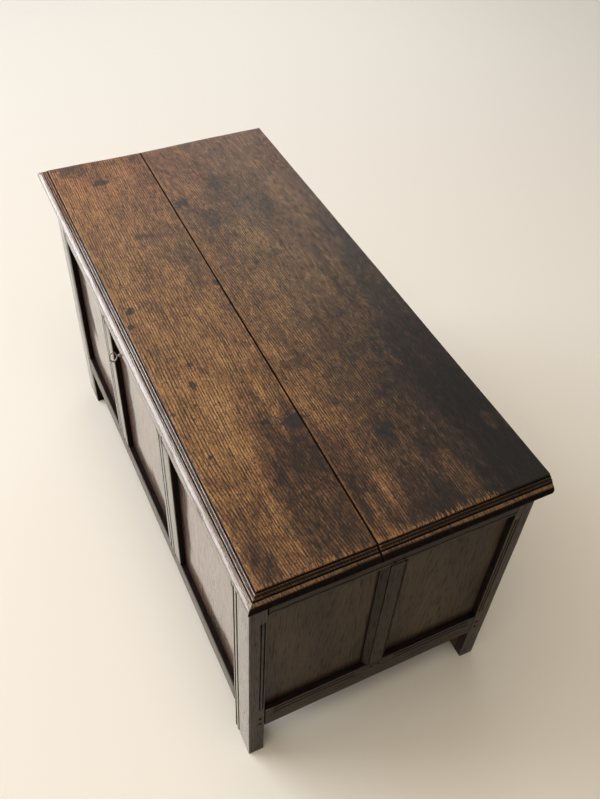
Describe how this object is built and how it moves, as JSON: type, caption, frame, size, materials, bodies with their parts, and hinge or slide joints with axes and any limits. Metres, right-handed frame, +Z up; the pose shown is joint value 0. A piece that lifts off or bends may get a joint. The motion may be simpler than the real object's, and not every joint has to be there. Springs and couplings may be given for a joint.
{
  "type": "wooden coffer",
  "caption": "Joined oak coffer: pegged frame-and-panel chest on stile feet, with a hinged lid of moulded edge and a key-worked lock inside the front rail.",
  "frame": {"origin": "on the floor, under the middle of the whole coffer's box, key included", "axes": "+X along the coffer to the right seen from its front, +Y to its back, +Z up; the front faces -Y"},
  "size_m": [1.139, 0.541, 0.6343],
  "materials": {
    "frame_oak": "dark waxed oak",
    "panel_oak": "dark waxed oak",
    "lid_oak": "worn golden-brown waxed oak",
    "inside_oak": "dry unpolished oak",
    "wrought_iron": "dark wrought iron"
  },
  "bodies": {
    "carcase": {"stile_front_left": "frame_oak", "stile_front_right": "frame_oak", "stile_back_left": "frame_oak", "stile_back_right": "frame_oak", "front_top_rail": "frame_oak", "front_bottom_rail": "frame_oak", "back_top_rail": "frame_oak", "back_bottom_rail": "frame_oak", "left_top_rail": "frame_oak", "left_bottom_rail": "frame_oak", "right_top_rail": "frame_oak", "right_bottom_rail": "frame_oak", "front_muntin_left": "frame_oak", "front_muntin_right": "frame_oak", "back_muntin_left": "frame_oak", "back_muntin_right": "frame_oak", "left_muntin": "frame_oak", "right_muntin": "frame_oak", "front_panel_left": "panel_oak", "front_panel_middle": "panel_oak", "front_panel_right": "panel_oak", "back_panel_left": "panel_oak", "back_panel_middle": "panel_oak", "back_panel_right": "panel_oak", "left_panel_front": "panel_oak", "left_panel_back": "panel_oak", "right_panel_front": "panel_oak", "right_panel_back": "panel_oak", "floor_board_1": "inside_oak", "floor_board_2": "inside_oak", "floor_board_3": "inside_oak", "floor_board_4": "inside_oak", "hinge_left_rail_leaf": "wrought_iron", "hinge_left_pin": "wrought_iron", "hinge_right_rail_leaf": "wrought_iron", "hinge_right_pin": "wrought_iron", "lock_plate": "wrought_iron", "lock_case": "wrought_iron", "lock_nail_1": "wrought_iron", "lock_nail_2": "wrought_iron", "lock_nail_3": "wrought_iron", "lock_nail_4": "wrought_iron"},
    "lid": {"lid_front_board": "lid_oak", "lid_back_board": "lid_oak", "lid_batten_left": "inside_oak", "lid_batten_right": "inside_oak", "batten_nail_left_1": "wrought_iron", "batten_nail_left_2": "wrought_iron", "batten_nail_left_3": "wrought_iron", "batten_nail_left_4": "wrought_iron", "batten_nail_right_1": "wrought_iron", "batten_nail_right_2": "wrought_iron", "batten_nail_right_3": "wrought_iron", "batten_nail_right_4": "wrought_iron", "hinge_left_lid_leaf": "wrought_iron", "hinge_right_lid_leaf": "wrought_iron", "lid_staple": "wrought_iron"},
    "key": {"key": "wrought_iron"},
    "bolt": {"lock_bolt": "wrought_iron"}
  },
  "joints": [
    {"name": "lid_hinge", "type": "hinge", "parent": "carcase", "child": "lid", "pos_m": [0, 0.258, 0.60715], "axis": [-1, 0, 0], "range_deg": [0, 106]},
    {"name": "key_turn", "type": "hinge", "parent": "carcase", "child": "key", "pos_m": [-0.024, -0.2365, 0.564], "axis": [0, 1, 0], "range_deg": [0, 184]},
    {"name": "bolt_slide", "type": "slide", "parent": "carcase", "child": "bolt", "axis": [1, 0, 0], "range_m": [0, 0.014]}
  ],
  "couplings": [
    {"joint": "key_turn", "follows": "bolt_slide", "rad_per_m": 224.39}
  ]
}
